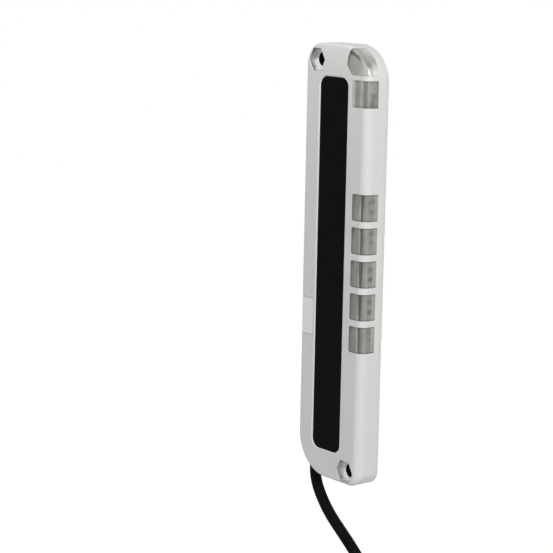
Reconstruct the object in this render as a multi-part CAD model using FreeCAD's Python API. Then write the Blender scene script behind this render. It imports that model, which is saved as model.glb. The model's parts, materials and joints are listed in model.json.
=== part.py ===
import FreeCAD, Part
import math
import os

# Slim receiver bar of a safety light curtain.
# Frame: millimetres, X to the right and Z up as seen from the front, Y from the front to the back.
# The origin is on the flat back face, midway between the two mounting holes. Everything is drawn
# about the centre of the housing and moved to that origin at the end.

V = FreeCAD.Vector
Y_AXIS = V(0, 1, 0)

# ---- housing ----
WIDTH = 30.0
HEIGHT = 140.0
DEPTH = 9.0
WALL = 1.2
FRONT = -DEPTH
PARTING = -2.0                      # plane between the front housing and the rear cover
CORNER_TL = 7.0
CORNER_TR = 12.0
CORNER_BR = 4.5
CORNER_BL = 13.2
EDGE_R = 0.9                        # general rounding of the front and back rims
INDICATOR_EDGE_R = 2.8              # larger rounding of the edge that carries the indicators
INNER_FRONT = FRONT + WALL
LIP_DEPTH = 1.0
LIP_WIDTH = 1.0
FIT = 0.05                          # play between seated pieces
COVER_FLOOR = -1.2                  # inner floor of the rear cover

# ---- mounting holes ----
HOLE_X = 9.2
HOLE_Z = 65.3
PATTERN_X = -0.95                   # middle of the two holes, which lies towards the window
PATTERN_Z = -0.6
HOLES = ((PATTERN_X - HOLE_X, PATTERN_Z + HOLE_Z), (PATTERN_X + HOLE_X, PATTERN_Z - HOLE_Z))
BORE_R = 2.35                       # clears an M4 screw
SLEEVE_R = 2.85
HEX_FLATS = 7.2                     # takes an M4 nut or screw head
HEX_WALL = 0.35
HEX_RIM = FRONT + 0.5               # the metal starts below the plastic rim
HEX_FLOOR = -6.1
HEX_FLOOR_THICK = 0.5
BOSS_R = 4.8
CORNER_RELIEF = 0.5                 # the rim is lower between the upper pocket and the corner

# ---- optical window ----
WINDOW_X = -1.35
WINDOW_Z = -0.55
WINDOW_W = 13.4
WINDOW_H = 120.5
WINDOW_CORNER = 3.0
WINDOW_BEVEL = 0.4
FILTER_RECESS = 0.3
FILTER_FLANGE = 0.9
FILTER_FLANGE_Z = 0.4
FILTER_BACK = INNER_FRONT + 0.7

# ---- beams ----
BEAMS = 5
BEAM_PITCH = 25.0
BEAM_Z = [WINDOW_Z + BEAM_PITCH * (k - (BEAMS - 1) / 2) for k in range(BEAMS)]
LENS_R = 4.1
LENS_EDGE = 0.5
LENS_RISE = 1.0
HOLDER_W = 13.0
HOLDER_H = 118.0
CHANNEL = 4.6
DIODE = 2.4
DIODE_TALL = 1.0

# ---- indicators ----
GROUP_TOP = 24.15
INDICATOR_PITCH = 10.5
INDICATOR_H = 8.45
INDICATOR_LEFT = 8.95
INDICATOR_BACK = -3.6
OSSD_TOP = 59.45
OSSD_LEFT = 7.7
OSSD_BACK = -4.6
CORNER_BOTTOM = 60.9
CORNER_TOP = 69.1
CORNER_BACK = -4.0
GUIDE_THICK = 1.0
GUIDE_LEFT = 8.2
GUIDE_BACK = -3.6
GUIDE_BOTTOM = -27.6
LED = (1.6, 1.0, 2.4)

# ---- mode switch and its cover ----
LID_RIGHT = -9.1
LID_BOTTOM = -24.0
LID_TOP = -12.1
LID_THICK = 0.7
LID_LEDGE = 0.8
LID_GAP = 0.15                      # shadow gap round the lid
SWITCH_X = -11.6
SWITCH_Z = 0.5 * (LID_BOTTOM + LID_TOP)
SWITCH = (4.0, 2.5, 6.4)
POLES = 4
POLE_PITCH = 1.27
SLIDER = (0.9, 0.55, 0.7)
SLIDER_TRAVEL = 1.0

# ---- main board ----
BOARD_FRONT = -4.0
BOARD_BACK = -3.2
BOARD_RIGHT = 12.4
BOARD_INSET = 1.7
CABLE_NOTCH = (-7.8, -54.8)

# ---- cable ----
CABLE_D = 3.7
CABLE_X = -11.3
CABLE_Y = -4.5
JACKET_END = -59.2
CLAMP_Z = (-62.7, -60.0)
GROMMET_R = 2.35
GROMMET_TOP = -63.2
CORE_R = 0.5
CORE_OFFSET = 0.88
CORE_COLOURS = ("brown", "blue", "black", "white")
LEAD_PADS = (-12.7, -11.4, -8.7, -10.05)
CABLE_ROUTE = [
    V(CABLE_X, CABLE_Y, JACKET_END),
    V(-11.3, -4.5, -68.6),
    V(-10.0, -4.5, -74.2),
    V(-7.4, -4.5, -79.2),
    V(-3.7, -4.5, -83.5),
    V(1.1, -4.5, -87.1),
    V(7.0, -4.4, -91.3),
    V(14.2, -4.1, -97.6),
    V(23.5, -3.5, -107.6),
    V(29.0, -2.9, -119.4),
    V(30.5, -2.7, -131.0),
]
COIL_X = -2.2
COIL_Z = -136.0
COIL_MID_R = 23.0
COIL_LAYERS = 4
COIL_RINGS = 6
COIL_PITCH = 3.85
COIL_FRONT = -2.7 - (COIL_LAYERS - 1) * COIL_PITCH
TIE_THICK = 0.8
TIE_WIDTH = 3.6


def box(x0, x1, y0, y1, z0, z1):
    return Part.makeBox(x1 - x0, y1 - y0, z1 - z0, V(x0, y0, z0))


def rod(radius, x, z, y0, y1):
    return Part.makeCylinder(radius, y1 - y0, V(x, y0, z), Y_AXIS)


def prism(points, y0, y1):
    """Straight-sided prism: (x, z) corner points, extruded from y0 to y1."""
    wire = Part.makePolygon([V(x, y0, z) for x, z in points + points[:1]])
    return Part.Face(wire).extrude(V(0, y1 - y0, 0))


def hexagon(flats, x, z, y0, y1):
    """Hexagonal prism with corners to the left and right."""
    radius = flats / math.sqrt(3)
    corners = [math.radians(60 * k) for k in range(6)]
    return prism([(x + radius * math.cos(a), z + radius * math.sin(a)) for a in corners], y0, y1)


def rounded_plate(cx, cz, width, height, radius, y0, y1):
    plate = box(cx - width / 2, cx + width / 2, y0, y1, cz - height / 2, cz + height / 2)
    upright = [e for e in plate.Edges if abs(e.tangentAt(e.FirstParameter).y) > 0.9]
    return plate.makeFillet(radius, upright)


def outline(inset, y):
    """Front view of the housing, moved inwards by inset, as a closed wire at depth y."""
    right, top = WIDTH / 2 - inset, HEIGHT / 2 - inset
    arcs = []
    for radius, sx, sz in ((CORNER_TR, 1, 1), (CORNER_BR, 1, -1), (CORNER_BL, -1, -1), (CORNER_TL, -1, 1)):
        r = radius - inset
        ox, oz = sx * (right - r), sz * (top - r)
        middle = V(ox + sx * r * math.sqrt(0.5), y, oz + sz * r * math.sqrt(0.5))
        ends = [V(ox, y, sz * top), V(sx * right, y, oz)]
        if sx != sz:
            ends.reverse()
        arcs.append((ends[0], middle, ends[1]))
    edges = []
    for k, (start, middle, end) in enumerate(arcs):
        edges.append(Part.Arc(start, middle, end).toShape())
        edges.append(Part.LineSegment(end, arcs[(k + 1) % 4][0]).toShape())
    return Part.Wire(edges)


def slab(inset, y0, y1):
    return Part.Face(outline(inset, y0)).extrude(V(0, y1 - y0, 0))


def round_front(solid, y, small, large):
    """Round the front rim: small all round, growing to large along the indicator edge."""
    doc = FreeCAD.newDocument("rounding")
    base = doc.addObject("Part::Feature", "base")
    base.Shape = solid
    rounding = doc.addObject("Part::Fillet", "rounding")
    rounding.Base = base
    radii = []
    for number, edge in enumerate(solid.Edges, 1):
        if any(abs(v.Point.y - y) > 1e-6 for v in edge.Vertexes):
            continue
        ends = [edge.valueAt(edge.FirstParameter), edge.valueAt(edge.LastParameter)]
        on_right = [abs(p.x - solid.BoundBox.XMax) < 1e-6 for p in ends]
        radii.append((number,) + tuple(large if right else small for right in on_right))
    rounding.Edges = radii
    doc.recompute()
    rounded = rounding.Shape.Solids[0]
    FreeCAD.closeDocument(doc.Name)
    return rounded


def round_back(solid, y, radius):
    rim = [e for e in solid.Edges if all(abs(v.Point.y - y) < 1e-6 for v in e.Vertexes)]
    return solid.makeFillet(radius, rim)


def outer_block():
    return round_front(slab(0, FRONT, PARTING), FRONT, EDGE_R, INDICATOR_EDGE_R)


def cavity_block(inset, y0, y1):
    """Inside of the shell: the outer form moved inwards, its rim rounding reduced to match."""
    return round_front(slab(inset, y0, y1), y0, 0.1, INDICATOR_EDGE_R - inset)


def indicator_prisms():
    """Cutting prisms of the six wrap-round indicator windows, from the top one down."""
    def one(left, back, top):
        prism_box = box(left, WIDTH, FRONT - 1, back, top - INDICATOR_H, top)
        left_edges = [e for e in prism_box.Edges
                      if all(abs(v.Point.x - left) < 1e-6 for v in e.Vertexes)
                      and abs(e.tangentAt(e.FirstParameter).y) > 0.9]
        return prism_box.makeFillet(0.7, left_edges)
    tops = [GROUP_TOP - k * INDICATOR_PITCH for k in range(BEAMS)]
    return [one(OSSD_LEFT, OSSD_BACK, OSSD_TOP)] + [one(INDICATOR_LEFT, INDICATOR_BACK, t) for t in tops]


def corner_prism():
    """Cutting prism of the lens that turns over the rounded top corner."""
    y = FRONT - 1
    start = V(7.3, y, CORNER_BOTTOM)
    knee = V(4.9, y, 63.9)
    top = V(6.9, y, CORNER_TOP)
    arc = Part.Arc(knee, V(5.3, y, 66.6), top).toShape()
    rest = Part.makePolygon([top, V(WIDTH, y, CORNER_TOP), V(WIDTH, y, CORNER_BOTTOM), start, knee])
    face = Part.Face(Part.Wire([arc] + rest.Edges))
    return face.extrude(V(0, CORNER_BACK - y, 0))


def corner_relief():
    """Cutter between the upper pocket's outer side and the housing corner."""
    x, z = HOLES[0]
    radius = HEX_FLATS / math.sqrt(3)
    side = [(x - radius / 2, z + HEX_FLATS / 2), (x - radius, z)]
    far = [(-WIDTH, z - 1.5), (-WIDTH, HEIGHT), (x - radius / 2, HEIGHT)]
    return prism(side + far, FRONT - 1, FRONT + CORNER_RELIEF)


def lid_prism(grow):
    return box(-WIDTH, LID_RIGHT + grow, FRONT - 1, PARTING, LID_BOTTOM - grow, LID_TOP + grow)


def front_housing(outer, cavity):
    bosses = [rod(BOSS_R, x, z, FRONT, PARTING) for x, z in HOLES]
    shell = outer.cut(cavity)
    for boss in bosses:
        shell = shell.fuse(boss.common(outer))
    opening = rounded_plate(WINDOW_X, WINDOW_Z, WINDOW_W, WINDOW_H, WINDOW_CORNER, FRONT - 1, FILTER_BACK)
    shell = shell.cut(opening)
    mouth = [e for e in shell.Edges
             if all(abs(v.Point.y - FRONT) < 1e-6 for v in e.Vertexes)
             and abs(e.BoundBox.Center.x - WINDOW_X) <= WINDOW_W / 2 + 0.01
             and abs(e.BoundBox.Center.z - WINDOW_Z) <= WINDOW_H / 2 + 0.01]
    shell = shell.makeChamfer(WINDOW_BEVEL, mouth)
    shell = shell.cut(corner_relief())
    for x, z in HOLES:
        shell = shell.cut(hexagon(HEX_FLATS, x, z, FRONT - 1, HEX_RIM))
        shell = shell.cut(hexagon(HEX_FLATS + 2 * HEX_WALL, x, z, HEX_RIM, HEX_FLOOR + HEX_FLOOR_THICK))
        shell = shell.cut(rod(SLEEVE_R, x, z, FRONT, PARTING))
    for cutter in indicator_prisms() + [corner_prism()]:
        shell = shell.cut(cutter)
    shell = shell.cut(lid_prism(LID_GAP).cut(slab(LID_THICK, FRONT + LID_THICK, PARTING)))
    shell = shell.cut(box(-WIDTH, LID_RIGHT - LID_LEDGE, FRONT - 1, PARTING - 2 * LID_LEDGE,
                          LID_BOTTOM + LID_LEDGE, LID_TOP - LID_LEDGE))
    shell = shell.cut(cable_bore(GROMMET_R, -HEIGHT, GROMMET_TOP))
    return shell.cut(cable_bore(CABLE_D / 2, GROMMET_TOP, JACKET_END))


def rear_cover():
    cover = round_back(slab(0, PARTING, 0), 0, EDGE_R)
    lip_outer = slab(WALL + FIT, PARTING - LIP_DEPTH, COVER_FLOOR)
    lip_inner = slab(WALL + FIT + LIP_WIDTH, PARTING - LIP_DEPTH, COVER_FLOOR)
    cover = cover.fuse(lip_outer.cut(box(-WIDTH, WIDTH, PARTING, 0, -HEIGHT, HEIGHT)))
    cover = cover.cut(lip_inner)
    for x, z in HOLES:
        pad = rod(BOSS_R, x, z, PARTING, 0).common(slab(EDGE_R, PARTING, 0))
        cover = cover.cut(rod(BOSS_R + FIT, x, z, PARTING - LIP_DEPTH, PARTING)).fuse(pad)
        cover = cover.cut(rod(SLEEVE_R, x, z, PARTING - LIP_DEPTH, 0))
    cover = cover.cut(box(-WIDTH, CABLE_X + CABLE_D, PARTING - LIP_DEPTH, PARTING, -HEIGHT, JACKET_END + 2))
    for x, z in ((-5.0, 33.0), (5.5, 33.0), (-5.0, -33.5), (5.5, -33.5)):
        cover = cover.fuse(rod(1.0, x, z, BOARD_BACK, COVER_FLOOR))
    return cover.removeSplitter()


def filter_window():
    """Stepped plate: the raised field fills the opening, the flange sits behind the front wall."""
    field = rounded_plate(WINDOW_X, WINDOW_Z, WINDOW_W, WINDOW_H, WINDOW_CORNER,
                          FRONT + FILTER_RECESS, INNER_FRONT)
    flange = rounded_plate(WINDOW_X, WINDOW_Z, WINDOW_W + 2 * FILTER_FLANGE - 0.3,
                           WINDOW_H + 2 * FILTER_FLANGE_Z, WINDOW_CORNER, INNER_FRONT, FILTER_BACK)
    return field.fuse(flange).removeSplitter()


def indicator_light_guide(outer, cavity):
    """One clear moulding: pads flush with the housing, joined by a backing behind the wall."""
    wall = outer.cut(cavity)
    core = cavity_block(WALL + GUIDE_THICK, INNER_FRONT + GUIDE_THICK, PARTING)
    strip = box(GUIDE_LEFT, WIDTH, FRONT, GUIDE_BACK, GUIDE_BOTTOM, CORNER_BOTTOM - 0.6)
    top = box(4.4, WIDTH, FRONT, CORNER_BACK, CORNER_BOTTOM - 0.6, HEIGHT)
    guide = cavity.common(strip.fuse(top)).cut(core)
    for cutter in indicator_prisms() + [corner_prism()]:
        guide = guide.fuse(wall.common(cutter))
    return guide.removeSplitter()


def mounting_insert(x, z, outer):
    """Metal sleeve with a hexagonal seat at the front end, moulded into the housing corner."""
    cup = hexagon(HEX_FLATS + 2 * HEX_WALL, x, z, HEX_RIM, HEX_FLOOR + HEX_FLOOR_THICK).common(outer)
    cup = cup.cut(hexagon(HEX_FLATS, x, z, HEX_RIM, HEX_FLOOR))
    sleeve = rod(SLEEVE_R, x, z, HEX_FLOOR, 0).cut(rod(BORE_R, x, z, FRONT, 0))
    cup = cup.cut(rod(BORE_R, x, z, FRONT, 0))
    return cup.fuse(sleeve).removeSplitter()


def mode_switch_cover(outer):
    """Snap-on lid folded round the left edge, flush with the housing."""
    inner = slab(LID_THICK, FRONT + LID_THICK, PARTING)
    lid = outer.common(lid_prism(0)).cut(inner)
    corner = [e for e in lid.Edges
              if all(abs(v.Point.x - LID_RIGHT) < 1e-6 for v in e.Vertexes)
              and abs(e.tangentAt(e.FirstParameter).y) > 0.9]
    return lid.makeFillet(0.35, corner)


def mode_switch():
    """Four-pole slide switch: the body and its sliders."""
    w, d, h = SWITCH
    body = box(SWITCH_X - w / 2, SWITCH_X + w / 2, BOARD_FRONT - d, BOARD_FRONT,
               SWITCH_Z - h / 2, SWITCH_Z + h / 2)
    sw, sd, sh = SLIDER
    sliders = []
    for k in range(POLES):
        z = SWITCH_Z + POLE_PITCH * ((POLES - 1) / 2 - k)
        top = BOARD_FRONT - d
        slot = box(SWITCH_X - (sw + SLIDER_TRAVEL) / 2 - 0.15, SWITCH_X + (sw + SLIDER_TRAVEL) / 2 + 0.15,
                   top, top + 0.9, z - sh / 2 - 0.12, z + sh / 2 + 0.12)
        body = body.cut(slot)
        x = SWITCH_X - SLIDER_TRAVEL / 2
        sliders.append(box(x - sw / 2, x + sw / 2, top - sd, top + 0.75, z - sh / 2, z + sh / 2))
    return body, sliders


def main_board():
    board = slab(BOARD_INSET, BOARD_FRONT, BOARD_BACK)
    board = board.cut(box(BOARD_RIGHT, WIDTH, FRONT, 0, -HEIGHT, HEIGHT))
    for x, z in HOLES:
        board = board.cut(rod(BOSS_R + 0.25, x, z, FRONT, 0))
    notch_x, notch_z = CABLE_NOTCH
    return board.cut(box(-WIDTH, notch_x, FRONT, 0, -HEIGHT, notch_z))


def lens_holder():
    """Black bar with a stepped light channel for each beam."""
    holder = rounded_plate(WINDOW_X, WINDOW_Z, HOLDER_W, HOLDER_H, 1.5, FILTER_BACK, BOARD_FRONT)
    seat_floor = FILTER_BACK + LENS_EDGE + LENS_RISE
    for z in BEAM_Z:
        holder = holder.cut(rod(LENS_R, WINDOW_X, z, FILTER_BACK, seat_floor))
        for half, y0, y1 in ((CHANNEL / 2, seat_floor, BOARD_FRONT - DIODE_TALL - 0.1),
                             (DIODE / 2 + 0.1, BOARD_FRONT - DIODE_TALL - 0.1, BOARD_FRONT)):
            holder = holder.cut(box(WINDOW_X - half, WINDOW_X + half, y0, y1, z - half, z + half))
    return holder


def receiver_lens(z):
    """Plano-convex lens, its domed side to the front."""
    flat = FILTER_BACK + LENS_EDGE + LENS_RISE
    dome_r = (LENS_R ** 2 + LENS_RISE ** 2) / (2 * LENS_RISE)
    dome = Part.makeSphere(dome_r, V(WINDOW_X, FILTER_BACK + dome_r, z))
    return rod(LENS_R, WINDOW_X, z, FILTER_BACK, flat).common(dome)


def on_board(x, z, size, front):
    """Block-shaped component of size (x, y, z) that sits on one side of the board."""
    w, d, h = size
    y0, y1 = (BOARD_FRONT - d, BOARD_FRONT) if front else (BOARD_BACK, BOARD_BACK + d)
    return box(x - w / 2, x + w / 2, y0, y1, z - h / 2, z + h / 2)


def leaded_chip(x, z, size, pins, pitch):
    """Back-side package with two rows of short leads."""
    w, d, h = size
    chip = box(x - w / 2, x + w / 2, BOARD_BACK + 0.1, BOARD_BACK + d, z - h / 2, z + h / 2)
    for k in range(pins):
        lead_z = z + pitch * (k - (pins - 1) / 2)
        for side in (-1, 1):
            x0, x1 = sorted((x + side * w / 2, x + side * (w / 2 + 0.8)))
            chip = chip.fuse(box(x0, x1, BOARD_BACK, BOARD_BACK + 0.3, lead_z - 0.15, lead_z + 0.15))
    chip = chip.fuse(box(x - w / 2, x + w / 2, BOARD_BACK, BOARD_BACK + 0.1, z - h / 2, z + h / 2))
    return chip.removeSplitter()


def cable_bore(radius, z0, z1):
    return Part.makeCylinder(radius, z1 - z0, V(CABLE_X, CABLE_Y, z0))


def cable_grommet(outer, cable):
    return cable_bore(GROMMET_R, -HEIGHT, GROMMET_TOP).common(outer).cut(cable)


def cable_clamp(cavity):
    z0, z1 = CLAMP_Z
    half = CABLE_D / 2 + 0.45
    block = box(CABLE_X - half, CABLE_X + half + 1.2, CABLE_Y - half, PARTING, z0, z1)
    return block.common(cavity).cut(cable_bore(CABLE_D / 2, z0, z1))


def tube(points, radius, name):
    """Round tube along straight runs joined by tangent arcs as large as the runs allow."""
    edges, radii = [], []
    start = points[0]
    for before, corner, after in zip(points, points[1:], points[2:]):
        into, out = (corner - before), (after - corner)
        shorter = min(into.Length, out.Length)
        into.normalize()
        out.normalize()
        turn = into.getAngle(out)
        reach = 0.45 * shorter
        radii.append(reach / math.tan(turn / 2))
        a, b = corner - into * reach, corner + out * reach
        to_middle = (out - into)
        to_middle.normalize()
        middle = corner + to_middle * radii[-1] * (1 / math.cos(turn / 2) - 1)
        edges += [Part.LineSegment(start, a).toShape(), Part.Arc(a, middle, b).toShape()]
        start = b
    edges.append(Part.LineSegment(start, points[-1]).toShape())
    path = Part.Wire(edges)
    section = Part.Wire([Part.makeCircle(radius, points[0], points[1] - points[0])])
    solid = path.makePipeShell([section], True, False)
    length = sum(e.Length for e in edges)
    expected = math.pi * radius ** 2 * length
    print("%s: length %.1f mm, volume %.1f of %.1f mm3, radii %s" % (
        name, length, solid.Volume, expected, " ".join("%.1f" % r for r in radii)))
    return solid


def core_place(k):
    """Offset of core k from the cable's axis: the four cores lie in a square."""
    return CORE_OFFSET * (-1 if k < 2 else 1), CORE_OFFSET * (-1 if k % 2 else 1)


def board_lead(k, cable):
    """Insulated core from the end of the cable jacket to its pad on the board."""
    dx, dy = core_place(k)
    x, y = CABLE_X + dx, CABLE_Y + dy
    pad_x = LEAD_PADS[k]
    pad_y = BOARD_FRONT - CORE_R - 0.02
    points = [V(x, y, JACKET_END - 0.4), V(pad_x, pad_y, -56.0), V(pad_x, pad_y, -51.5)]
    return tube(points, CORE_R, "board_lead_" + CORE_COLOURS[k]).cut(cable)


def cable_coil():
    """Outer form of the put-away coil."""
    half_r = COIL_RINGS * COIL_PITCH / 2
    y0 = COIL_FRONT - CABLE_D / 2
    y1 = y0 + (COIL_LAYERS - 1) * COIL_PITCH + CABLE_D
    return rod(COIL_MID_R + half_r, COIL_X, COIL_Z, y0, y1).cut(
        rod(COIL_MID_R - half_r, COIL_X, COIL_Z, y0, y1))


def tail_route():
    """The free end leaves the outermost turn of the front layer and hangs straight down."""
    x = COIL_X + COIL_MID_R + (COIL_RINGS - 1) / 2 * COIL_PITCH
    return [V(x, COIL_FRONT, COIL_Z - 4), V(x + 0.3, COIL_FRONT - 0.2, COIL_Z - 28),
            V(x - 0.6, COIL_FRONT - 0.6, COIL_Z - 52)]


def core_end(k, end, tail):
    """Stripped core that spreads out of the end of the jacket."""
    dx, dy = core_place(k)
    points = [V(end.x + dx, end.y + dy, end.z + 0.3), V(end.x + 3.4 * dx, end.y + 2.0 * dy, end.z - 20)]
    return tube(points, CORE_R, "core_end_" + CORE_COLOURS[k]).cut(tail)


def cable_tie(coil):
    """Flat tie round the coil's section on the side where both ends leave it."""
    half_r = COIL_RINGS * COIL_PITCH / 2
    y0 = COIL_FRONT - CABLE_D / 2
    y1 = y0 + (COIL_LAYERS - 1) * COIL_PITCH + CABLE_D
    x0, x1 = COIL_X + COIL_MID_R - half_r, COIL_X + COIL_MID_R + half_r
    z0, z1 = COIL_Z - TIE_WIDTH / 2, COIL_Z + TIE_WIDTH / 2
    t = TIE_THICK
    band = box(x0 - t, x1 + t, y0 - t, y1 + t, z0, z1)
    band = band.cut(box(x0, x1, y0, y1, z0, z1))
    head = box(x1 + t, x1 + t + 2.6, y0 + 2, y0 + 7, z0 - 0.4, z1 + 0.4)
    return band.fuse(head).removeSplitter().cut(coil)


def build():
    outer = outer_block()
    cavity = cavity_block(WALL, INNER_FRONT, PARTING)
    cable = tube(CABLE_ROUTE, CABLE_D / 2, "cable")
    coil = cable_coil()
    tail = tube(tail_route(), CABLE_D / 2, "cable_tail")
    nodes = {
        "cable": cable.cut(coil),
        "cable_coil": coil,
        "cable_tail": tail.cut(coil),
        "cable_tie": cable_tie(coil),
        "front_housing": front_housing(outer, cavity),
        "rear_cover": rear_cover(),
        "filter_window": filter_window(),
        "indicator_light_guide": indicator_light_guide(outer, cavity),
        "mode_switch_cover": mode_switch_cover(outer),
        "main_board": main_board(),
        "lens_holder": lens_holder(),
        "mounting_insert_upper": mounting_insert(HOLES[0][0], HOLES[0][1], outer),
        "mounting_insert_lower": mounting_insert(HOLES[1][0], HOLES[1][1], outer),
        "controller_chip": leaded_chip(0.5, 12.0, (7.0, 1.4, 7.0), 8, 0.8),
        "signal_amplifier": leaded_chip(0.5, -12.0, (4.4, 1.1, 5.0), 5, 0.9),
        "output_driver": leaded_chip(0.5, -44.0, (3.9, 1.5, 5.0), 4, 1.2),
        "voltage_regulator": on_board(-7.5, -44.0, (2.5, 1.5, 4.5), False),
        "cable_grommet": cable_grommet(outer, cable),
        "cable_clamp": cable_clamp(cavity),
    }
    for k, z in enumerate(reversed(BEAM_Z), 1):
        nodes["receiver_lens_%d" % k] = receiver_lens(z)
        nodes["photodiode_%d" % k] = on_board(WINDOW_X, z, (DIODE, DIODE_TALL, DIODE), True)
    led_z = [64.0, OSSD_TOP - INDICATOR_H / 2]
    led_z += [GROUP_TOP - INDICATOR_H / 2 - k * INDICATOR_PITCH for k in range(BEAMS)]
    for k, z in enumerate(led_z, 1):
        nodes["indicator_led_%d" % k] = on_board(8.0 if k == 1 else 10.6, z, LED, True)
    nodes["mode_switch_body"], sliders = mode_switch()
    for k, slider in enumerate(sliders, 1):
        nodes["mode_switch_slider_%d" % k] = slider
    nodes["reservoir_capacitors"] = Part.makeCompound(
        [on_board(-10.8, z, (3.5, 1.9, 2.8), True) for z in (20.0, 27.0)])
    nodes["chip_parts"] = Part.makeCompound(
        [on_board(x, z, (0.8, 0.6, 1.6), False) for x in (-9.0, 8.5) for z in (-20, -16, -4, 4, 16, 20)])
    for k, colour in enumerate(CORE_COLOURS):
        nodes["board_lead_" + colour] = board_lead(k, cable)
        nodes["core_end_" + colour] = core_end(k, tail_route()[-1], tail)
    return nodes


os.makedirs("parts", exist_ok=True)
for node, shape in build().items():
    shape.translate(V(-PATTERN_X, 0, -PATTERN_Z))
    solids = shape.Solids
    print("%-24s solids %d  valid %s  volume %.1f" % (node, len(solids), shape.isValid(), shape.Volume))
    (solids[0] if len(solids) == 1 else shape).exportStep("parts/%s.step" % node)
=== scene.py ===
import json
import math

import bmesh
import bpy
from mathutils import Matrix, Vector

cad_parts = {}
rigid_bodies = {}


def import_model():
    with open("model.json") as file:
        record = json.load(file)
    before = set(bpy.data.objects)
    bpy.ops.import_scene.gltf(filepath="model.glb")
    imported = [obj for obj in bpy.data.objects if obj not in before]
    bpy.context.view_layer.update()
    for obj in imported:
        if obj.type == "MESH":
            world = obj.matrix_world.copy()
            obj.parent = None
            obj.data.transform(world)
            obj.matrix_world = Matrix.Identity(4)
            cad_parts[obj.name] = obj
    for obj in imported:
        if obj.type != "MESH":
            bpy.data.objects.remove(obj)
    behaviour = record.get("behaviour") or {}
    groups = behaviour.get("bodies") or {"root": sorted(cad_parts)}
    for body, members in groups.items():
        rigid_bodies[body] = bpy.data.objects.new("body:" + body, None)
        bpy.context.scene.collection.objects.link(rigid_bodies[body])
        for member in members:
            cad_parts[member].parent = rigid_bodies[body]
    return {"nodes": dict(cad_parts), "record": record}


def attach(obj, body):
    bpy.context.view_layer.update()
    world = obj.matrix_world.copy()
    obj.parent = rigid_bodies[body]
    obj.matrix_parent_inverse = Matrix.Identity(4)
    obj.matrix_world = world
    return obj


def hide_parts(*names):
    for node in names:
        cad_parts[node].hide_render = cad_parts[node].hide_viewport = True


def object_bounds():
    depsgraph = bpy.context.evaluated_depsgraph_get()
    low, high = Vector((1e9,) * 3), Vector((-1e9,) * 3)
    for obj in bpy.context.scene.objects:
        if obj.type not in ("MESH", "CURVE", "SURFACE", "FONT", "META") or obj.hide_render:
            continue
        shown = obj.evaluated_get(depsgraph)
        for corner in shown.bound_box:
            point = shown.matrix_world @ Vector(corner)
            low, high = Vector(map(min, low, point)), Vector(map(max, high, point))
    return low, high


# Looks of a slim light curtain receiver. Metres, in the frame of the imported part:
# X to the right and Z up as seen from the front, Y from the front to the back.

for leftover in list(bpy.data.objects):
    bpy.data.objects.remove(leftover)
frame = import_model()
CAD_BOX = [list(corner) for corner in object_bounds()]
NODES = frame["nodes"]
HOUSING = "housing"

MM = 0.001
CENTRE = Vector((0.95, 0, 0.6))     # centre of the housing's back face from the origin, in mm

# ---- camera, in degrees and metres ----
CAMERA_AZIMUTH = 51.6
CAMERA_ELEVATION = 10.15
CAMERA_ROLL = 1.12
CAMERA_DISTANCE = 0.6207
CAMERA_LEFT = 0.02477               # how far the camera's axis passes to the left of CENTRE
CAMERA_BELOW = 0.00432              # and below it
SENSOR_MM = 36.0
LENS_MM = 126.03

# ---- floor and light, in metres and watts; azimuth is from the front towards the right ----
FLOOR_DROP = 0.004                  # from the lowest point of the part
FLOOR_REACH = 3.0
FLOOR_GLOW = 0.93                   # share of the floor's own white that the camera sees
FLOOR_WHITE = 1.05
AMBIENT = (0.31, 0.305, 0.293)
KEY = dict(size=0.35, power=3.0, azimuth=70, elevation=32, distance=0.75)
FILL = dict(size=0.35, power=1.35, azimuth=30, elevation=45, distance=0.75)
REAR = dict(size=0.25, power=2.4, azimuth=222, elevation=-6, distance=0.9)

# ---- moulded plastic: sizes of the noise in mm ----
TONE_SIZE = 9.0
GLOSS_SIZE = 3.0
GLOSS_SHARE = 0.08

# ---- front of the housing, in mm from the part's origin ----
FRONT_Y = (-8.7, -7.4)              # the painted light on the front fades out towards the sides between these
FRONT_X = (11, 14)
TOP_PAINTED_LIGHT = [(0.085, 30, 56), (0.14, 62.5, 69)]   # painted light: gains, and the heights over which they come

# ---- mounting inserts, in mm from the part's origin ----
HOLE = (9.2, 65.3)
DARK_R = 2.35 + 0.04                # the bore and a margin, where the painted shade of the hole lies
DARK_FROM = -6.1 + 0.03             # the floor of the hexagonal seat and a margin; the painted shade lies behind it
LOWER_PAINTED_LIGHT = 1.07                   # painted light that makes the lower insert a little brighter

# ---- indicator pads, in mm from the part's origin ----
ABOVE_GROUP = 30                    # a pad above this height isn't one of the lower group
GROUP_TOP = 24.75
PAD_PITCH = 10.5
PAD_HEIGHT = 8.45
PAD_LEFT = 9.9
UPPER_PAD_TOP = 60.05
CORNER_PAD_BOTTOM = 61.5
PAD_MARGIN = 0.3                    # how far below its bottom the corner lens's shade begins
ROUND_X, ROUND_Y = 13.15, -6.2      # axis of the large rounding of the indicator edge
FOLD_START = (7.45, 68.5)           # X and Z where the painted dark line of the fold of the corner lens's back begins
FOLD_SLOPE = 0.22                   # it falls by this share of the way across
FOLD_BEND = 0.06                    # and by this share of its square
LENS_POINT = (5.7, 64.6)            # X and Z of the point of the corner lens's left edge
LENS_SLOPE = 0.42
LENS_LIGHT = 1.45                   # against the other pads

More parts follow.
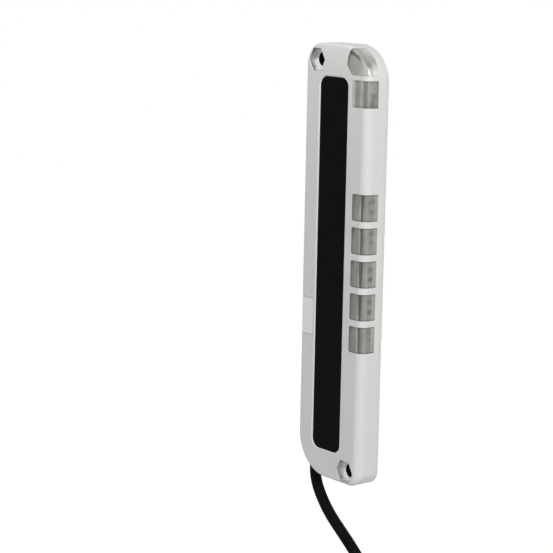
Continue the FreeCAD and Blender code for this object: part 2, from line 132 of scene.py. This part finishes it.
# ---- cable: diameter and length in metres, the rest in mm from CENTRE ----
CABLE_D = 3.7 * MM
CABLE_ROUTE = [
    (-11.3, -4.5, -59.2),
    (-11.7, -4.5, -68.6),
    (-10.85, -4.5, -74.2),
    (-7.6, -4.5, -79.2),
    (-3.55, -4.5, -83.5),
    (1.3, -4.5, -87.1),
    (7.0, -4.4, -91.3),
    (14.2, -4.1, -97.6),
    (23.5, -3.5, -107.6),
    (29.0, -2.9, -119.4),
    (30.5, -2.7, -131.0),
]
COIL_X = -2.2
COIL_Z = -136.0
COIL_MID_R = 23.0
COIL_LAYERS = 4
COIL_RINGS = 6
COIL_PITCH = 3.85
COIL_BACK = -2.7
TURN_POINTS = 14
CHANGE_TURNS = 1 / 3                # part of a turn in which the cable steps to the next layer
TAIL = [(0, 0, -12), (0.3, -0.2, -28), (-0.6, -0.6, -52)]   # from the end of the last turn

# ---- cable tie, in mm ----
TIE_THICK = 0.8
TIE_WIDTH = 3.6
TIE_SOFT = 0.2
TIE_CORNER_STEPS = 6
# Blocks on the strap: inner and outer are from the side of the coil, start and end from its
# front, and wider is on each side of the strap.
TIE_HEAD = dict(inner=0.3, outer=3.4, start=2.0, end=7.0, wider=0.4, soft=0.35)
TIE_TAIL = dict(inner=1.7, outer=2.5, start=6.5, end=8.2, wider=-0.15, soft=0.12)
NOTCH = dict(inner=2.4, outer=2.65, wider=-0.6, soft=0.03)
NOTCHES = 3
NOTCH_START = 7.25
NOTCH_PITCH = 0.3
NOTCH_LENGTH = 0.14

# ---- cores at the cable's end, in mm ----
CORE_D = 1.0
CORE_OFFSET = 0.88
CORE_LENGTH = 20.0
CORE_HALFWAY = 9.0
SPREAD_HALFWAY = (1.6, 1.2)         # times the core's offset, in X and Y
SPREAD_TIP = (3.4, 2.0)
BARE_LENGTH = 6.0
STRANDS_D = 0.62
CORE_COLOURS = {"brown": (0.16, 0.055, 0.02), "blue": (0.02, 0.10, 0.42),
                "black": (0.02, 0.02, 0.021), "white": (0.75, 0.75, 0.73)}


# ------------------------------------------------------------------ material tools

def add(material, kind, inputs=None, **settings):
    """New node of a material, with its settings and the values or links of its inputs."""
    node = material.node_tree.nodes.new("ShaderNode" + kind)
    for name, value in settings.items():
        setattr(node, name, value)
    for name, value in (inputs or {}).items():
        if isinstance(value, bpy.types.NodeSocket):
            material.node_tree.links.new(value, node.inputs[name])
        else:
            node.inputs[name].default_value = value
    return node


def principled(name, base, roughness, **inputs):
    """Material with a plain Principled shader, and that shader."""
    material = bpy.data.materials.new(name)
    material.use_nodes = True
    shader = material.node_tree.nodes["Principled BSDF"]
    shader.inputs["Base Color"].default_value = (*base, 1)
    shader.inputs["Roughness"].default_value = roughness
    for key, value in inputs.items():
        shader.inputs[key.replace("_", " ")].default_value = value
    material.diffuse_color = (*base, 1)
    return material, shader


def position(material):
    """Place of a point in the part's frame, in metres."""
    return add(material, "TexCoord").outputs["Object"]


def noise(material, size, detail=2.0, stretch=(1, 1, 1)):
    """Noise whose features are about size millimetres across."""
    place = add(material, "Mapping", {"Vector": position(material), "Scale": stretch})
    return add(material, "TexNoise", {"Vector": place.outputs["Vector"], "Scale": 1 / (size * MM),
                                      "Detail": detail}).outputs["Fac"]


def ramp(material, value, low, high, start=0.3, end=0.7):
    """Value from start to end turned into a number or colour from low to high.

    The usual start and end hold nearly all of a noise's values.
    """
    if isinstance(low, (int, float)):
        return add(material, "MapRange", {"Value": value, "From Min": start, "From Max": end,
                                          "To Min": low, "To Max": high}).outputs["Result"]
    share = add(material, "MapRange", {"Value": value, "From Min": start, "From Max": end})
    return mixed(material, share.outputs["Result"], (*low, 1), (*high, 1))


def mixed(material, share, first, second):
    """The first colour where the share is 0, and the second where it is 1."""
    return add(material, "Mix", {0: share, 6: first, 7: second}, data_type="RGBA").outputs[2]


def chosen(material, share, first, second):
    """The first number where the share is 0, and the second where it is 1."""
    return add(material, "Mix", {0: share, 2: first, 3: second}).outputs[0]


def scaled(material, colour, gain):
    """The colour times the gain."""
    return add(material, "VectorMath", {0: colour, "Scale": gain}, operation="SCALE").outputs["Vector"]


def link(material, source, target):
    """Link between two sockets of a material."""
    material.node_tree.links.new(source, target)


def bump(material, shader, height, depth):
    """Bump of the given depth in millimetres."""
    node = add(material, "Bump", {"Height": height, "Distance": depth * MM, "Strength": 1.0})
    link(material, node.outputs["Normal"], shader.inputs["Normal"])


def math_of(material, operation, *values):
    """Result of a Math node on numbers or sockets."""
    return add(material, "Math", dict(enumerate(values)), operation=operation).outputs[0]


def both(material, first, second):
    """Product of two numbers or sockets."""
    return math_of(material, "MULTIPLY", first, second)


def square_of(material, value, centre):
    """Square of the distance of the value from the centre."""
    away = math_of(material, "SUBTRACT", value, centre)
    return both(material, away, away)


def millimetres(material):
    """The three coordinates of a point of the part, in mm."""
    axes = add(material, "SeparateXYZ", {"Vector": position(material)})
    return [both(material, axis, 1 / MM) for axis in axes.outputs]


def band(material, value, middle, half, soft, strength):
    """strength where the value is within half of the middle, falling to 0 over soft."""
    away = math_of(material, "ABSOLUTE", math_of(material, "SUBTRACT", value, middle))
    past = math_of(material, "DIVIDE", math_of(material, "SUBTRACT", away, half), soft)
    fall = add(material, "MapRange", {"Value": past, "To Min": strength, "To Max": 0.0},
               interpolation_type="SMOOTHSTEP")
    return fall.outputs["Result"]


def overlap(material, *bands):
    """Product of bands, each given by its value, middle, half width, softness and strength."""
    product, *others = [band(material, *settings) for settings in bands]
    for other in others:
        product = both(material, product, other)
    return product


def darkened(material, marks):
    """Light that is left after each mark has taken its share."""
    left = 1.0
    for mark in marks:
        left = both(material, left, math_of(material, "SUBTRACT", 1.0, mark))
    return left


def lightened(material, gains):
    """Light after each gain has added its share."""
    total = 1.0
    for gain in gains:
        total = both(material, total, math_of(material, "ADD", 1.0, gain))
    return total


def varied(colour, share):
    """The colour a little darker and a little lighter."""
    return tuple(c * (1 - share) for c in colour), tuple(min(1, c * (1 + share)) for c in colour)


def moulded(name, base, roughness, grain=0.12, depth=0.006, share=0.02, **inputs):
    """Injection-moulded plastic: a fine eroded grain, and slow changes of tone and gloss."""
    material, shader = principled(name, base, roughness, **inputs)
    tone = ramp(material, noise(material, TONE_SIZE, 3), *varied(base, share))
    link(material, tone, shader.inputs["Base Color"])
    gloss = ramp(material, noise(material, GLOSS_SIZE, 4), roughness * (1 - GLOSS_SHARE),
                 roughness * (1 + GLOSS_SHARE))
    link(material, gloss, shader.inputs["Roughness"])
    bump(material, shader, noise(material, grain, 2), depth)
    return material


# ------------------------------------------------------------------ materials

def housing_white():
    """White housing plastic, with painted light that makes its front a little lighter towards the upper
    end.
    """
    material = moulded("housing_white", (0.68, 0.68, 0.675), 0.45, Specular_IOR_Level=0.35)
    shader = material.node_tree.nodes["Principled BSDF"]
    plain = shader.inputs["Base Color"].links[0].from_socket
    x, y, z = millimetres(material)
    front = both(material, ramp(material, y, 1.0, 0.0, *FRONT_Y), ramp(material, x, 1.0, 0.0, *FRONT_X))
    # painted light: the front grows lighter towards the top
    gains = [ramp(material, z, 0.0, gain, low, high) for gain, low, high in TOP_PAINTED_LIGHT]
    gain = math_of(material, "MULTIPLY_ADD", math_of(material, "ADD", *gains), front, 1.0)
    link(material, scaled(material, plain, gain), shader.inputs["Base Color"])
    return material


def lid_white():
    """The snap-on lid is another moulding, a little lighter than the housing."""
    return moulded("lid_white", (0.84, 0.835, 0.825), 0.5, Specular_IOR_Level=0.35)


def cover_grey():
    return moulded("cover_grey", (0.66, 0.655, 0.64), 0.45)


def filter_black():
    """Smooth dark window that lets infrared through."""
    return moulded("filter_black", (0.004, 0.0037, 0.0039), 0.3, grain=2.0, depth=0.001,
                   share=0.1, IOR=1.08)


def clear_guide():
    """Smoky clear pads: their edges and the lamps behind them are painted in as dark lines and soft spots,
    with painted highlights along the rounding.
    """
    material, shader = principled("clear_guide", (0.30, 0.30, 0.29), 0.16, IOR=1.5,
                                  Transmission_Weight=0.22)
    x, y, z = millimetres(material)
    turn = math_of(material, "ARCTAN2", math_of(material, "SUBTRACT", x, ROUND_X),
                   math_of(material, "SUBTRACT", ROUND_Y, y))
    turn = math_of(material, "ADD", turn, ramp(material, noise(material, 3.0, 2), -0.03, 0.03))
    above_group = math_of(material, "GREATER_THAN", z, ABOVE_GROUP)
    in_corner = math_of(material, "GREATER_THAN", z, CORNER_PAD_BOTTOM - PAD_MARGIN)
    group = group_pads(material, x, y, z, turn)
    upper = upper_pad(material, x, y, z, turn)
    corner = corner_pad(material, x, y, z)
    shade = chosen(material, in_corner, chosen(material, above_group, group, upper), corner)
    streaks = ramp(material, noise(material, 0.7, 3, (1, 1, 0.06)), 0.90, 1.10)
    clouds = ramp(material, noise(material, 3.2, 3), 0.88, 1.12)
    shade = both(material, shade, both(material, streaks, clouds))
    link(material, scaled(material, (0.318, 0.315, 0.300), shade), shader.inputs["Base Color"])
    bump(material, shader, noise(material, 0.5, 2), 0.003)
    return material


def group_pads(material, x, y, z, turn):
    """Painted shade and highlights of the five pads of the lower group; no two of them are quite alike."""
    row = math_of(material, "DIVIDE", math_of(material, "SUBTRACT", GROUP_TOP, z), PAD_PITCH)
    chance = add(material, "TexWhiteNoise", {"W": math_of(material, "FLOOR", row)},
                 noise_dimensions="1D")
    draws = add(material, "SeparateXYZ", {"Vector": chance.outputs["Color"]}).outputs
    below_top = both(material, math_of(material, "FRACT", row), PAD_PITCH)
    from_left = math_of(material, "SUBTRACT", x, PAD_LEFT)
    fold_width = both(material, ramp(material, below_top, 0.18, 0.05, 0, PAD_HEIGHT),
                      ramp(material, chance.outputs["Value"], 0.5, 1.3, 0, 1))
    second_fold = ramp(material, draws[1], 0.0, 0.45, 0, 1)
    shift = ramp(material, draws[0], -0.8, 0.7, 0, 1)
    lamp_depth = math_of(material, "SUBTRACT", below_top, shift)
    lamp_depth = math_of(material, "ADD", lamp_depth, ramp(material, noise(material, 1.3, 2), -0.5, 0.5))
    lamp_width = band(material, y, -5.9, ramp(material, draws[1], 0.9, 0.2, 0, 1), 1.0, 1.0)
    second_lamp = both(material, lamp_width, ramp(material, draws[2], 0.1, 0.45, 0, 1))
    shine = ramp(material, noise(material, 3.5, 2), 0.1, 1.0)
    marks = [
        # painted shade along the upper and lower edge
        band(material, below_top, 0.0, 0.22, 0.35, 0.42),
        band(material, below_top, PAD_HEIGHT, 0.22, 0.35, 0.45),
        # painted shade along the left edge, a wider painted shade beside it, and painted shade in the upper
        # left corner
        band(material, from_left, 0.0, 0.25, 0.6, 0.25),
        band(material, from_left, 0.0, 0.7, 1.6, 0.24),
        overlap(material, (below_top, 0.0, 0.6, 2.2, 0.4), (from_left, 0.0, 0.8, 1.8, 1.0)),
        # painted dark lines of the folds along the rounding
        band(material, turn, 0.46, fold_width, 0.09, 0.66),
        both(material, band(material, turn, 0.66, 0.08, 0.14, 1.0), second_fold),
        # painted dark spots of the lamps behind the pad
        both(material, band(material, lamp_depth, 2.2, 0.35, 0.9, 0.32), lamp_width),
        both(material, band(material, lamp_depth, 5.0, 0.25, 0.8, 1.0), second_lamp),
    ]
    gains = [
        # light along the rounding, behind the lamps, and low down where the side begins
        both(material, band(material, turn, 0.22, 0.03, 0.07, 0.95), shine),
        band(material, y, -4.4, 0.5, 0.6, 0.32),
        overlap(material, (turn, 1.0, 0.15, 0.3, 0.14), (below_top, 7.0, 1.6, 2.0, 1.0)),
    ]
    return both(material, darkened(material, marks), lightened(material, gains))


def upper_pad(material, x, y, z, turn):
    """Painted shade and highlights of the single pad below the corner."""
    below_top = math_of(material, "SUBTRACT", UPPER_PAD_TOP, z)
    marks = [
        # painted shade along the upper and lower edge
        band(material, below_top, 0.0, 0.25, 0.6, 0.25),
        band(material, below_top, PAD_HEIGHT, 0.3, 0.9, 0.30),
        # painted shade at the front, and the painted dark line of the fold along the rounding
        band(material, x, 10.7, 0.6, 1.6, 0.14),
        band(material, turn, 0.42, 0.16, 0.22, 0.36),
        # painted dark spots of the lamps behind the pad, and a painted dark line beyond them
        overlap(material, (y, -6.4, 0.6, 0.8, 0.34), (below_top, 4.8, 0.4, 1.0, 1.0)),
        overlap(material, (y, -6.8, 0.5, 0.8, 0.42), (below_top, 7.0, 0.6, 0.9, 1.0)),
        band(material, y, -5.2, 0.2, 0.4, 0.15),
        # painted shade along the left edge
        band(material, x, 8.7, 0.12, 0.2, 0.2),
    ]
    gains = [
        # light beside the left edge
        band(material, x, 9.15, 0.35, 0.8, 0.95),
        # light along the rounding
        band(material, turn, 0.0, 0.12, 0.25, 0.38),
        band(material, turn, 0.88, 0.06, 0.2, 0.22),
        ramp(material, turn, 0.26, 0.1, 0.35, 0.7),
    ]
    return both(material, darkened(material, marks), lightened(material, gains))


def corner_pad(material, x, y, z):
    """Painted shade and highlights of the corner lens, with a painted fold of its back as if seen through
    it.
    """
    across = math_of(material, "SUBTRACT", x, FOLD_START[0])
    fall = both(material, math_of(material, "MULTIPLY_ADD", across, FOLD_BEND, FOLD_SLOPE), across)
    fold = math_of(material, "ADD", math_of(material, "SUBTRACT", z, FOLD_START[1]), fall)
    from_point = math_of(material, "ABSOLUTE", math_of(material, "SUBTRACT", z, LENS_POINT[1]))
    edge = math_of(material, "MULTIPLY_ADD", from_point, LENS_SLOPE, LENS_POINT[0])
    from_edge = math_of(material, "SUBTRACT", x, edge)
    marks = [
        # painted dark line of the fold of the back, and painted shade along the left edge
        overlap(material, (fold, 0.0, 0.35, 0.45, 0.60), (x, 9.3, 1.7, 1.3, 1.0)),
        band(material, from_edge, 0.0, 0.45, 0.9, 0.42),
        # painted dark spot of the lamp behind the lens
        overlap(material, (y, -7.1, 0.5, 0.8, 0.35), (z, 64.7, 0.4, 0.9, 1.0)),
        # painted shade below the top edge
        overlap(material, (x, 14.6, 0.4, 0.8, 0.4), (z, 68.6, 0.3, 0.9, 1.0)),
        overlap(material, (x, 8.4, 0.6, 0.9, 0.25), (z, 68.1, 0.3, 0.7, 1.0)),
        # painted shade along the lower edge
        band(material, z, CORNER_PAD_BOTTOM, 0.1, 0.4, 0.2),
    ]
    right = ramp(material, x, 0.0, 1.0, 10.6, 12.4)
    gains = [
        # painted light and shade: the right part is lighter below and darker above, and the lens is lighter
        # at the side
        both(material, ramp(material, z, 0.34, -0.25, 62.4, 65.8), right),
        ramp(material, y, 0.0, 0.45, -7.6, -5.4),
        # light below the fold
        overlap(material, (x, 8.8, 0.9, 1.2, 0.08), (z, 66.0, 0.8, 1.0, 1.0)),
    ]
    light = both(material, darkened(material, marks), LENS_LIGHT)
    return both(material, light, lightened(material, gains))


def board_green():
    """Green solder mask over a net of tracks."""
    green = (0.02, 0.16, 0.07)
    material, shader = principled("board_green", green, 0.35, Coat_Weight=0.3)
    tracks = add(material, "TexBrick", {
        "Vector": position(material), "Scale": 420.0, "Mortar Size": 0.04,
        "Color1": (*green, 1), "Color2": (0.018, 0.14, 0.06, 1), "Mortar": (0.03, 0.22, 0.10, 1)})
    link(material, tracks.outputs["Color"], shader.inputs["Base Color"])
    bump(material, shader, tracks.outputs["Fac"], 0.02)
    return material


def black_plastic():
    return moulded("black_plastic", (0.02, 0.02, 0.021), 0.5)


def insert_steel():
    """Bright formed seat, with painted light that makes the lower insert a little brighter; the bore behind
    it is painted near black as the shade in the hole.
    """
    material, shader = principled("insert_steel", (0.64, 0.635, 0.64), 0.48, Metallic=1.0)
    turned = noise(material, 0.5, 3, (1, 14, 1))
    link(material, ramp(material, turned, 0.42, 0.54), shader.inputs["Roughness"])
    bright = ramp(material, noise(material, 1.6, 3), (0.57, 0.565, 0.57), (0.71, 0.705, 0.71))
    x, y, z = millimetres(material)
    # painted light: the lower insert is a little brighter than the upper one
    bright = scaled(material, bright, ramp(material, z, LOWER_PAINTED_LIGHT, 1.0, -50, 50))
    squares = [math_of(material, "ADD", square_of(material, x, side * HOLE[0]),
                       square_of(material, z, -side * HOLE[1])) for side in (-1, 1)]
    radius = math_of(material, "SQRT", math_of(material, "MINIMUM", *squares))
    # painted shade: the bore behind the seat is coloured near black
    in_bore = both(material, math_of(material, "LESS_THAN", radius, DARK_R),
                   math_of(material, "GREATER_THAN", y, DARK_FROM))
    colour = mixed(material, in_bore, bright, (0.006, 0.006, 0.006, 1))
    link(material, colour, shader.inputs["Base Color"])
    bump(material, shader, turned, 0.006)
    return material


def chip_black():
    return moulded("chip_black", (0.03, 0.03, 0.032), 0.55, grain=0.06)


def grommet_rubber():
    return moulded("grommet_rubber", (0.03, 0.03, 0.031), 0.7)


def switch_body():
    return moulded("switch_body", (0.03, 0.03, 0.035), 0.45)


def slider_white():
    return moulded("slider_white", (0.75, 0.75, 0.72), 0.4)


def capacitor_tan():
    return moulded("capacitor_tan", (0.42, 0.28, 0.14), 0.4)


def lens_clear():
    material, shader = principled("lens_clear", (0.88, 0.90, 0.92), 0.04, IOR=1.5,
                                  Transmission_Weight=1.0)
    bump(material, shader, noise(material, 1.5, 1), 0.001)
    return material


def photodiode_dark():
    return moulded("photodiode_dark", (0.03, 0.012, 0.03), 0.15, depth=0.001)


def led_clear():
    return moulded("led_clear", (0.62, 0.66, 0.38), 0.25, depth=0.002)


def cable_jacket():
    """Black jacket: a matt skin whose tone and gloss vary a little, with a fine grain."""
    material, shader = principled("cable_jacket", (0.0045, 0.0045, 0.0045), 0.5, IOR=1.1)
    tone = ramp(material, noise(material, 4.0, 4), (0.003, 0.003, 0.003), (0.007, 0.007, 0.007))
    link(material, tone, shader.inputs["Base Color"])
    gloss = ramp(material, noise(material, 1.2, 3), 0.42, 0.56)
    link(material, gloss, shader.inputs["Roughness"])
    bump(material, shader, noise(material, 0.25, 3), 0.012)
    return material


def tie_black():
    return moulded("tie_black", (0.02, 0.02, 0.02), 0.4)


def core(colour):
    """Insulation of one of the cable's cores."""
    return moulded("core_" + colour, CORE_COLOURS[colour], 0.36, grain=0.3, depth=0.003, share=0.08)


def dress_nodes():
    """Every CAD node gets the material of its slot in the record."""
    makers = [housing_white, cover_grey, filter_black, clear_guide, board_green, black_plastic,
              insert_steel, chip_black, grommet_rubber, switch_body, slider_white, capacitor_tan,
              lens_clear, photodiode_dark, led_clear, cable_jacket, tie_black]
    made = {maker.__name__: maker() for maker in makers}
    made.update({"core_" + colour: core(colour) for colour in CORE_COLOURS})
    for part in frame["record"]["subparts"]:
        for place in NODES[part["node"]].material_slots:
            place.material = made[part["material_slot"]]
    NODES["mode_switch_cover"].material_slots[0].material = lid_white()
    return made


# ------------------------------------------------------------------ pieces

def keep(obj, slot, *replaced):
    """Adds a new piece, with its slot's material, that rides on the housing."""
    bpy.context.scene.collection.objects.link(obj)
    obj.data.materials.append(MATERIALS[slot])
    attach(obj, HOUSING)
    if replaced:
        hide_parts(*replaced)
    return obj


def curve(name, points, diameter, sides=6):
    """Round NURBS tube along points given in millimetres from the housing's centre."""
    data = bpy.data.curves.new(name, "CURVE")
    data.dimensions = "3D"
    data.bevel_depth = diameter / 2
    data.bevel_resolution = sides
    data.resolution_u = 6
    data.use_fill_caps = True
    spline = data.splines.new("NURBS")
    spline.points.add(len(points) - 1)
    for point, place in zip(spline.points, points):
        point.co = (*((Vector(place) + CENTRE) * MM), 1)
    spline.order_u = 3
    spline.use_endpoint_u = True
    return bpy.data.objects.new(name, data)


def coil_points():
    """Layers of flat spirals, wound inwards and outwards in turn, from the back to the front."""
    outer = COIL_MID_R + (COIL_RINGS - 1) / 2 * COIL_PITCH
    layer_turns = COIL_RINGS - 1
    period = layer_turns + CHANGE_TURNS
    turns = COIL_LAYERS * period - CHANGE_TURNS
    points = []
    for k in range(round(turns * TURN_POINTS) + 1):
        turn = k / TURN_POINTS
        layer = min(int(turn / period), COIL_LAYERS - 1)
        wound = min(turn - layer * period, layer_turns)
        change = max(0.0, turn - layer * period - layer_turns) / CHANGE_TURNS
        inwards = wound if layer % 2 == 0 else layer_turns - wound
        radius = outer - inwards * COIL_PITCH
        angle = -math.tau * turn
        points.append((COIL_X + radius * math.cos(angle), COIL_BACK - (layer + change) * COIL_PITCH,
                       COIL_Z + radius * math.sin(angle)))
    return points


def tail_points():
    """The free end leaves the outermost turn of the front layer and hangs down."""
    x = COIL_X + COIL_MID_R + (COIL_RINGS - 1) / 2 * COIL_PITCH
    y = COIL_BACK - (COIL_LAYERS - 1) * COIL_PITCH
    return [(x + dx, y + dy, COIL_Z + dz) for dx, dy, dz in TAIL]


def core_pieces():
    """Insulated cores that spread out of the jacket's end, each with bare strands at its tip."""
    end = Vector(tail_points()[-1])
    pieces = []
    for k, colour in enumerate(CORE_COLOURS):
        dx = CORE_OFFSET * (-1 if k < 2 else 1)
        dy = CORE_OFFSET * (-1 if k % 2 else 1)
        start = end + Vector((dx, dy, 0.3))
        middle = end + Vector((SPREAD_HALFWAY[0] * dx, SPREAD_HALFWAY[1] * dy, -CORE_HALFWAY))
        tip = end + Vector((SPREAD_TIP[0] * dx, SPREAD_TIP[1] * dy, -CORE_LENGTH))
        strip = middle.lerp(tip, 1 - BARE_LENGTH / (tip - middle).length)
        insulation = curve("core_insulation_" + colour, [start, middle, strip], CORE_D * MM, 4)
        pieces.append(keep(insulation, "core_" + colour, "core_end_" + colour))
        inside = strip.lerp(tip, -0.05)
        strands = curve("core_strands_" + colour, [inside, strip.lerp(tip, 0.5), tip], STRANDS_D * MM, 3)
        pieces.append(keep(strands, "insert_steel"))
    return pieces


def solid(name, form):
    """Object from a bmesh in millimetres from the housing's centre."""
    for vertex in form.verts:
        vertex.co = (vertex.co + CENTRE) * MM
    bmesh.ops.recalc_face_normals(form, faces=form.faces)
    mesh = bpy.data.meshes.new(name)
    form.to_mesh(mesh)
    form.free()
    return bpy.data.objects.new(name, mesh)


def block(form, low, high, bevel):
    """Box with softened edges added to a bmesh."""
    low, high = Vector(low), Vector(high)
    made = bmesh.ops.create_cube(form, size=1.0)["verts"]
    for vertex in made:
        vertex.co = Vector(l + (h - l) * (c + 0.5) for l, h, c in zip(low, high, vertex.co))
    edges = list({edge for vertex in made for edge in vertex.link_edges})
    bmesh.ops.bevel(form, geom=edges, offset=bevel, segments=2, affect="EDGES", profile=0.5)


def tie_strap(form, left, right, front, back):
    """Strap with softened edges round the coil's section, whose corners have the cable's radius."""
    radius = CABLE_D / MM / 2
    half = TIE_WIDTH / 2
    inner, outer = TIE_SOFT, TIE_THICK - TIE_SOFT
    section = [(0, TIE_SOFT - half), (0, half - TIE_SOFT), (inner, half), (outer, half),
               (TIE_THICK, half - TIE_SOFT), (TIE_THICK, TIE_SOFT - half), (outer, -half), (inner, -half)]
    rings = []
    for k, (x, y) in enumerate([(right - radius, back - radius), (left + radius, back - radius),
                                (left + radius, front + radius), (right - radius, front + radius)]):
        for step in range(TIE_CORNER_STEPS + 1):
            angle = (k + step / TIE_CORNER_STEPS) * math.pi / 2
            outwards = Vector((math.cos(angle), math.sin(angle), 0))
            rings.append([form.verts.new(Vector((x, y, COIL_Z + v)) + outwards * (radius + u))
                          for u, v in section])
    for ring, after in zip(rings, rings[1:] + rings[:1]):
        for k, vertex in enumerate(ring):
            n = (k + 1) % len(ring)
            form.faces.new((vertex, ring[n], after[n], after[k]))


def tie_block(form, side, front, inner, outer, start, end, wider, soft):
    """Block on the strap where it runs along the side of the coil."""
    half = TIE_WIDTH / 2 + wider
    block(form, (side + inner, front + start, COIL_Z - half), (side + outer, front + end, COIL_Z + half),
          soft)


def cable_tie():
    """Tie round the coil's section: a strap, its head, and its cut-off tail with notches."""
    half = COIL_RINGS * COIL_PITCH / 2
    left, right = COIL_X + COIL_MID_R - half, COIL_X + COIL_MID_R + half
    back = COIL_BACK + CABLE_D / MM / 2
    front = back - (COIL_LAYERS - 1) * COIL_PITCH - CABLE_D / MM
    form = bmesh.new()
    tie_strap(form, left, right, front, back)
    tie_block(form, right, front, **TIE_HEAD)
    tie_block(form, right, front, **TIE_TAIL)
    for k in range(NOTCHES):
        start = NOTCH_START + k * NOTCH_PITCH
        tie_block(form, right, front, start=start, end=start + NOTCH_LENGTH, **NOTCH)
    return keep(solid("coil_tie", form), "tie_black", "cable_tie")


def cable_with_coil():
    """Cable from the grommet to the tied coil, and on to its free end with the bare cores."""
    cable = curve("sensor_cable", CABLE_ROUTE + coil_points() + tail_points(), CABLE_D)
    keep(cable, "cable_jacket", "cable", "cable_coil", "cable_tail")
    pieces = core_pieces() + [cable_tie(), NODES["cable_grommet"]]


# ------------------------------------------------------------------ stage

def direction(azimuth, elevation):
    """Unit vector from the part, by angles in radians; the azimuth is 0 in front and grows to the right."""
    return Vector((math.sin(azimuth) * math.cos(elevation), -math.cos(azimuth) * math.cos(elevation),
                   math.sin(elevation)))


def camera():
    """Camera that looks past CENTRE from the front right, turned a little about its own axis."""
    azimuth, elevation, roll = map(math.radians, (CAMERA_AZIMUTH, CAMERA_ELEVATION, CAMERA_ROLL))
    back = direction(azimuth, elevation)
    level = Vector((math.cos(azimuth), math.sin(azimuth), 0))
    upright = back.cross(level)
    right = level * math.cos(roll) + upright * math.sin(roll)
    up = upright * math.cos(roll) - level * math.sin(roll)
    data = bpy.data.cameras.new("camera")
    data.sensor_width = SENSOR_MM
    data.lens = LENS_MM
    data.clip_start = 0.01
    obj = bpy.data.objects.new("camera", data)
    place = CENTRE * MM + back * CAMERA_DISTANCE - right * CAMERA_LEFT - up * CAMERA_BELOW
    obj.matrix_world = Matrix((right, up, back)).transposed().to_4x4()
    obj.location = place
    bpy.context.scene.collection.objects.link(obj)
    bpy.context.scene.camera = obj


def seen_rays(owner):
    """1 for rays from the camera, and for those that reflection and glass send on, else 0."""
    ray = add(owner, "LightPath").outputs
    seen = math_of(owner, "MAXIMUM", ray["Is Camera Ray"], ray["Is Glossy Ray"])
    return math_of(owner, "MAXIMUM", seen, ray["Is Transmission Ray"])


def floor():
    """Plain white floor that keeps a soft shadow."""
    mesh = bpy.data.meshes.new("floor")
    form = bmesh.new()
    bmesh.ops.create_grid(form, x_segments=1, y_segments=1, size=FLOOR_REACH)
    form.to_mesh(mesh)
    form.free()
    obj = bpy.data.objects.new("floor", mesh)
    obj.location.z = CAD_BOX[0][2] - FLOOR_DROP
    bpy.context.scene.collection.objects.link(obj)
    material, shader = principled("floor_white", (0.9, 0.9, 0.9), 0.8)
    glow = add(material, "Emission", {"Color": (1, 1, 1, 1), "Strength": FLOOR_WHITE})
    share = both(material, seen_rays(material), FLOOR_GLOW)
    mix = add(material, "MixShader", {"Fac": share, 1: shader.outputs[0], 2: glow.outputs[0]})
    link(material, mix.outputs[0], material.node_tree.nodes["Material Output"].inputs["Surface"])
    mesh.materials.append(material)


def lamp(name, size, power, azimuth, elevation, distance):
    """Round soft lamp that faces the part's origin."""
    data = bpy.data.lights.new(name, "AREA")
    data.shape = "DISK"
    data.size = size
    data.energy = power
    obj = bpy.data.objects.new(name, data)
    away = direction(math.radians(azimuth), math.radians(elevation))
    obj.location = away * distance
    obj.rotation_euler = away.to_track_quat("Z", "Y").to_euler()
    bpy.context.scene.collection.objects.link(obj)


def surroundings():
    """White background for the camera, and softer ambient light on the object."""
    world = bpy.data.worlds.new("studio")
    bpy.context.scene.world = world
    world.use_nodes = True
    colour = mixed(world, seen_rays(world), (*AMBIENT, 1), (1, 1, 1, 1))
    link(world, colour, world.node_tree.nodes["Background"].inputs["Color"])


bpy.context.scene.view_settings.view_transform = "Standard"
MATERIALS = dress_nodes()
cable_with_coil()
camera()
floor()
surroundings()
lamp("key", **KEY)
lamp("fill", **FILL)
lamp("rear", **REAR)
